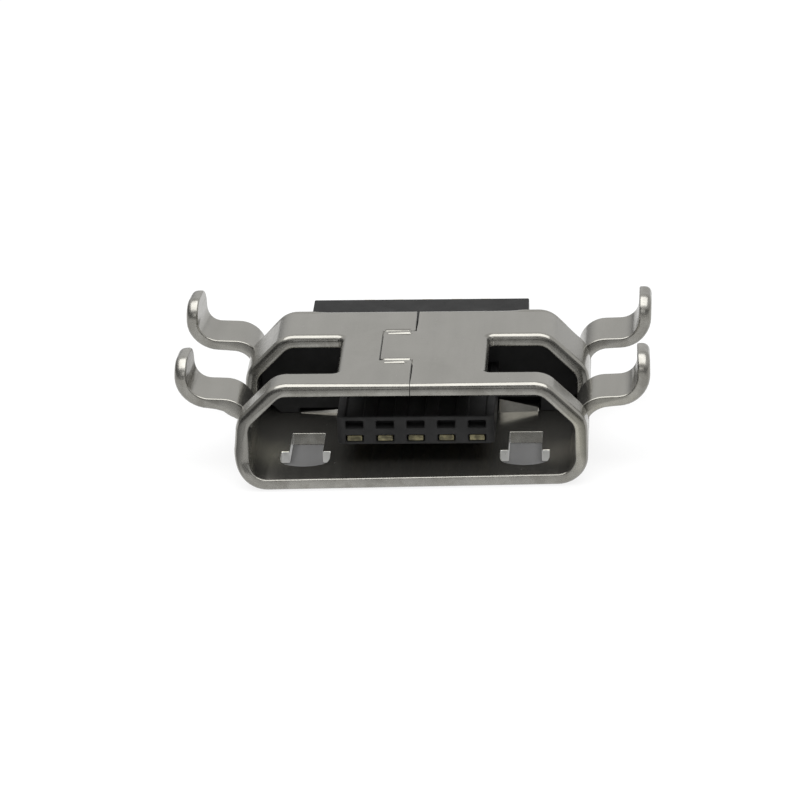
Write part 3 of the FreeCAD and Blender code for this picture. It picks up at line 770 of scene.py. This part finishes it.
# A rounded rectangle carried along the beam, the step and the tail; its end rings close it. Near both
# ends the section shrinks along a quarter circle.
def makeContact(size, centre):
    bend, edge, front, nose = size["bend"], size["edge"], size["front"], size["nose"]
    runs = [(size["rise"] - front - bend, 0), (bend * math.pi / 2, math.pi / 2),
            (size["tailHeight"] - size["height"] - 2 * bend, 0), (bend * math.pi / 2, -math.pi / 2),
            (size["tailEnd"] - size["rise"] - bend, 0)]
    ends = runEnds(runs)
    narrow = [size["narrowFrom"] - front, size["narrowTo"] - front]
    closing = np.array([0, edge * 0.3, edge])
    stations = inOrder(closing, [nose, 0.3, 1.5, 3.0], narrow, np.linspace(ends[1], ends[2], 9),
                       np.linspace(ends[3], ends[4], 9), ends[5] - closing)
    y, z, heading = pathPoints((front, size["height"]), 0.0, runs, stations)
    over = np.clip(edge - np.minimum(stations, ends[5] - stations), 0, edge)
    inset = edge - np.sqrt(np.clip(edge ** 2 - over ** 2, 0, None))
    width = np.interp(stations, narrow, [size["width"], size["tailWidth"]]) / 2
    angle = np.radians(np.add.outer([0, 90, 180, 270], [0, 30, 60, 90]).ravel())
    cornerX, cornerZ = np.repeat([1, -1, -1, 1], 4), np.repeat([1, 1, -1, -1], 4)
    rounding = (edge - inset * 0.7)[:, None]
    side = cornerX * (width - edge)[:, None] + np.cos(angle) * rounding
    lift = cornerZ * (size["thickness"] / 2 - edge) + np.sin(angle) * rounding
    early = np.clip(nose - stations, 0, None)            # the upper side falls to the front in an arc
    lift -= (nose - np.sqrt(nose ** 2 - early ** 2))[:, None] * (cornerZ > 0)
    points = np.stack([centre + side, y[:, None] - np.sin(heading)[:, None] * lift,
                       z[:, None] + np.cos(heading)[:, None] * lift], -1)
    rings, count = points.shape[:2]
    index = np.arange(rings * count).reshape(rings, count)
    after = np.roll(index, -1, 1)
    quads = np.stack([index[:-1], index[1:], after[1:], after[:-1]], -1).reshape(-1, 4)
    mesh = bpy.data.meshes.new("contact")
    caps = [index[0].tolist(), index[-1, ::-1].tolist()]
    mesh.from_pydata(points.reshape(-1, 3).tolist(), [], quads.tolist() + caps)
    mesh.polygons.foreach_set("use_smooth", np.ones(len(mesh.polygons), bool))
    cut = np.zeros(len(mesh.polygons), np.int32)
    cut[:count * 2], cut[-2:] = 1, 1                     # the front rings and both ends are cut faces
    mesh.polygons.foreach_set("material_index", cut)
    mesh.update()
    return mesh


for number, centre in enumerate(contactCentres, 1):
    finishMesh("contactStrip%d" % number, makeContact(contactSizes, centre), [thinGold, cutGold],
               contactSizes["softEdge"], 1, "contact_%d" % number, merge=False)


# Floor, light and camera

stageLook = {
    "size": 0.5, "below": 0.000005, "white": 0.95, "paintedShade": 0.18, "glow": 0.84, "underGlow": 0.42,
    "under": (0.0030, 0.0024), "underMiddle": (0.0, -0.0005), "underEdge": 0.96,
    "worldForLight": 0.36, "worldSeen": 1.0, "tilt": (0.25, 0.30, 1.0), "bandTop": 1.2,
    "band": ((0.0, 0.15), (0.15, 0.17), (0.31, 0.70), (0.48, 1.0), (0.62, 1.0), (0.76, 0.84), (1.0, 0.80)),
}


# White floor: lit paint, mixed with a glow that the camera and reflections see. Straight under the socket
# the paint is darkened as painted shade, and reflections see a weaker glow there, also painted shade.
def makeFloor(look):
    half, below = look["size"] / 2, -look["below"]
    mesh = bpy.data.meshes.new("floor")
    mesh.from_pydata([(-half, -half, below), (half, -half, below), (half, half, below), (-half, half, below)],
                     [], [(0, 1, 2, 3)])
    floor = bpy.data.objects.new("floor", mesh)
    scene.collection.objects.link(floor)
    material = bpy.data.materials.new("whiteFloor")
    material.use_nodes = True
    tree = material.node_tree
    tree.nodes.clear()
    path = tree.nodes.new("ShaderNodeLightPath").outputs
    place = tree.nodes.new("ShaderNodeTexCoord").outputs["Object"]
    split = addNode(tree, "ShaderNodeSeparateXYZ", {0: place})
    outside = []
    for socket, reach, middle in zip(split.outputs[:2], look["under"], look["underMiddle"]):
        offset = compute(tree, "ABSOLUTE", compute(tree, "SUBTRACT", socket, middle))
        outside.append(mapRange(tree, offset, reach * look["underEdge"], reach, kind="SMOOTHSTEP"))
    apart = compute(tree, "MAXIMUM", *outside)
    seen = compute(tree, "MULTIPLY", compute(tree, "MULTIPLY", apart, path["Is Camera Ray"]), look["glow"])
    mirrored = mapRange(tree, apart, 0.0, 1.0, look["underGlow"], look["glow"])
    share = compute(tree, "MULTIPLY_ADD", path["Is Glossy Ray"], mirrored, seen)
    colour = mixColour(tree, apart, *[(look[k],) * 3 + (1,) for k in ("paintedShade", "white")])
    paint = addNode(tree, "ShaderNodeBsdfDiffuse", {"Color": colour})
    glow = addNode(tree, "ShaderNodeEmission", {"Color": (1, 1, 1, 1), "Strength": 1.0})
    mix = addNode(tree, "ShaderNodeMixShader", {0: share, 1: paint.outputs[0], 2: glow.outputs[0]})
    addNode(tree, "ShaderNodeOutputMaterial", {0: mix.outputs[0]})
    mesh.materials.append(material)


# The world: plain for diffuse light and white for the camera. In reflections its level follows the
# direction's dot product with the tilt: dim at the front horizon, white behind, a little dimmer high up.
def makeWorld(look):
    world = bpy.data.worlds.new("studio")
    scene.world = world
    world.use_nodes = True
    tree = world.node_tree
    path = tree.nodes.new("ShaderNodeLightPath").outputs
    seen = compute(tree, "MAXIMUM", path["Is Camera Ray"], path["Is Glossy Ray"])
    seen = compute(tree, "MAXIMUM", seen, path["Is Transmission Ray"])
    level = mapRange(tree, seen, 0.0, 1.0, look["worldForLight"], look["worldSeen"])
    direction = tree.nodes.new("ShaderNodeTexCoord").outputs["Generated"]
    height = addNode(tree, "ShaderNodeVectorMath", {0: direction, 1: look["tilt"]},
                     operation="DOT_PRODUCT").outputs["Value"]
    band = makeRamp(tree, mapRange(tree, height, 0.0, look["bandTop"]), look["band"])
    mirrored = addNode(tree, "ShaderNodeMix", {0: path["Is Glossy Ray"], 2: 1.0, 3: band}).outputs[0]
    background = tree.nodes["Background"].inputs
    background["Color"].default_value = (1, 1, 1, 1)
    tree.links.new(compute(tree, "MULTIPLY", level, mirrored), background["Strength"])


lampLook = [
    {"name": "topLamp", "at": (0.0, -0.025, 0.160), "size": (0.24, 0.20), "radiance": 3.1},
    {"name": "mouthLamp", "at": (0.0, -0.190, 0.072), "size": (0.08, 0.045), "radiance": 2.0},
]


# A lamp's power is its radiance times pi times its area; it faces the socket.
def makeLamp(look):
    lamp = bpy.data.lights.new(look["name"], "AREA")
    lamp.shape = "RECTANGLE"
    lamp.size, lamp.size_y = look["size"]
    lamp.energy = look["radiance"] * math.pi * look["size"][0] * look["size"][1]
    holder = bpy.data.objects.new(look["name"], lamp)
    scene.collection.objects.link(holder)
    holder.location = look["at"]
    holder.rotation_euler = (Vector((0, 0, 0.001)) - Vector(look["at"])).to_track_quat("-Z", "Y").to_euler()


# Angles in degrees, lengths in millimetres; the lens is given in pixels of a frame 800 wide.
cameraLook = {"turn": -3.75177, "down": 23.64657, "roll": -1.97211, "distance": 97.8753,
              "aim": (0.0, 2.3, 1.2), "slide": (0.351588, 0.152331), "lens": 4545.106, "frame": 800,
              "sensor": 36, "clip": (0.005, 5)}


# The camera stands its distance back from the aim along the view, and slides across it.
def makeCamera(look):
    turn, down, roll = [math.radians(look[k]) for k in ("turn", "down", "roll")]
    ahead = Vector((math.sin(turn) * math.cos(down), math.cos(turn) * math.cos(down), -math.sin(down)))
    right = Vector((math.cos(turn), -math.sin(turn), 0))
    up = right.cross(ahead)
    right, up = (math.cos(roll) * right + math.sin(roll) * up, math.cos(roll) * up - math.sin(roll) * right)
    place = Vector(look["aim"]) - look["distance"] * ahead - look["slide"][0] * right - look["slide"][1] * up
    place = (place - Vector((0, footprintMiddle, 0))) * millimetre
    lens = bpy.data.cameras.new("camera")
    lens.sensor_width, lens.lens = look["sensor"], look["lens"] / look["frame"] * look["sensor"]
    lens.clip_start, lens.clip_end = look["clip"]
    camera = bpy.data.objects.new("camera", lens)
    scene.collection.objects.link(camera)
    camera.matrix_world = Matrix.Translation(place) @ Matrix((right, up, -ahead)).transposed().to_4x4()
    scene.camera = camera


makeFloor(stageLook)
makeWorld(stageLook)
for look in lampLook:
    makeLamp(look)
makeCamera(cameraLook)
scene.view_settings.view_transform = "Standard"
print("floor, light and camera made")
